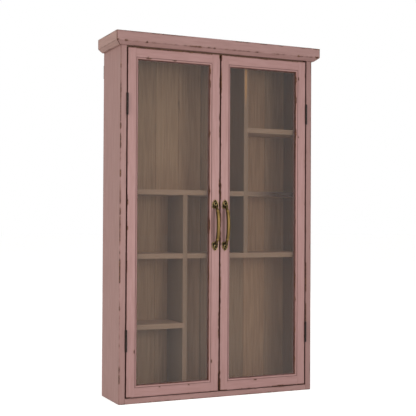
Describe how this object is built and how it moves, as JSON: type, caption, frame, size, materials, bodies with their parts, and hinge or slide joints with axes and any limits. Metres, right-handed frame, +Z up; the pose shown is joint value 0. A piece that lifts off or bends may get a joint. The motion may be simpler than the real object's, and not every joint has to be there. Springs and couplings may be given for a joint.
{
  "type": "glazed display cabinet",
  "caption": "Shallow wall or shelf display cabinet with two glazed doors, a cornice, and uneven shelves and dividers inside.",
  "frame": {"origin": "middle of the carcass's underside", "axes": "+X to the right along the front, +Y to the back, +Z up"},
  "size_m": [0.652, 0.1829, 1.038],
  "materials": {
    "painted_wood": "dusty pink paint, worn through at the edges",
    "natural_wood": "bare aged softwood",
    "glass": "clear",
    "antique_brass": "antique, darkened in the hollows",
    "dark_hinge_metal": "dark brown oxide",
    "zinc_steel": "dull zinc",
    "catch_plastic": "brown, matt",
    "magnet": "bare pole faces"
  },
  "bodies": {
    "carcass": {"left_side_panel": "painted_wood", "right_side_panel": "painted_wood", "bottom_board": "painted_wood", "top_board": "painted_wood", "header_rail": "natural_wood", "cornice_front": "painted_wood", "cornice_left": "painted_wood", "cornice_right": "painted_wood", "back_board_1": "natural_wood", "back_board_2": "natural_wood", "back_board_3": "natural_wood", "back_board_4": "natural_wood", "back_board_5": "natural_wood", "back_board_6": "natural_wood", "back_board_7": "natural_wood", "back_board_8": "natural_wood", "shelf_upper": "natural_wood", "shelf_lower": "natural_wood", "shelf_short_left": "natural_wood", "shelf_short_right": "natural_wood", "divider_left": "natural_wood", "divider_right": "natural_wood", "left_upper_hinge_carcass_leaf": "dark_hinge_metal", "left_lower_hinge_carcass_leaf": "dark_hinge_metal", "right_upper_hinge_carcass_leaf": "dark_hinge_metal", "right_lower_hinge_carcass_leaf": "dark_hinge_metal", "hinge_pins": "dark_hinge_metal", "carcass_hinge_screws": "zinc_steel", "catch_housing": "catch_plastic", "catch_magnets": "magnet", "catch_screws": "zinc_steel", "hanger_plates": "zinc_steel", "hanger_screws": "zinc_steel"},
    "left_door": {"left_door_hinge_stile": "painted_wood", "left_door_meeting_stile": "painted_wood", "left_door_top_rail": "painted_wood", "left_door_bottom_rail": "painted_wood", "left_door_glass": "glass", "left_door_glazing_strips": "painted_wood", "left_door_pull": "antique_brass", "left_door_pull_screws": "antique_brass", "left_door_strike_plate": "zinc_steel", "left_door_strike_screw": "zinc_steel", "left_door_hinge_screws": "zinc_steel", "left_upper_hinge_door_leaf": "dark_hinge_metal", "left_lower_hinge_door_leaf": "dark_hinge_metal"},
    "right_door": {"right_door_hinge_stile": "painted_wood", "right_door_meeting_stile": "painted_wood", "right_door_top_rail": "painted_wood", "right_door_bottom_rail": "painted_wood", "right_door_glass": "glass", "right_door_glazing_strips": "painted_wood", "right_door_pull": "antique_brass", "right_door_pull_screws": "antique_brass", "right_door_strike_plate": "zinc_steel", "right_door_strike_screw": "zinc_steel", "right_door_hinge_screws": "zinc_steel", "right_upper_hinge_door_leaf": "dark_hinge_metal", "right_lower_hinge_door_leaf": "dark_hinge_metal"}
  },
  "joints": [
    {"name": "left_door_hinge", "type": "hinge", "parent": "carcass", "child": "left_door", "pos_m": [-0.28775, -0.0778, 0.5], "axis": [0, 0, -1], "range_deg": [0, 175]},
    {"name": "right_door_hinge", "type": "hinge", "parent": "carcass", "child": "right_door", "pos_m": [0.28775, -0.0778, 0.5], "axis": [0, 0, 1], "range_deg": [0, 175]}
  ]
}
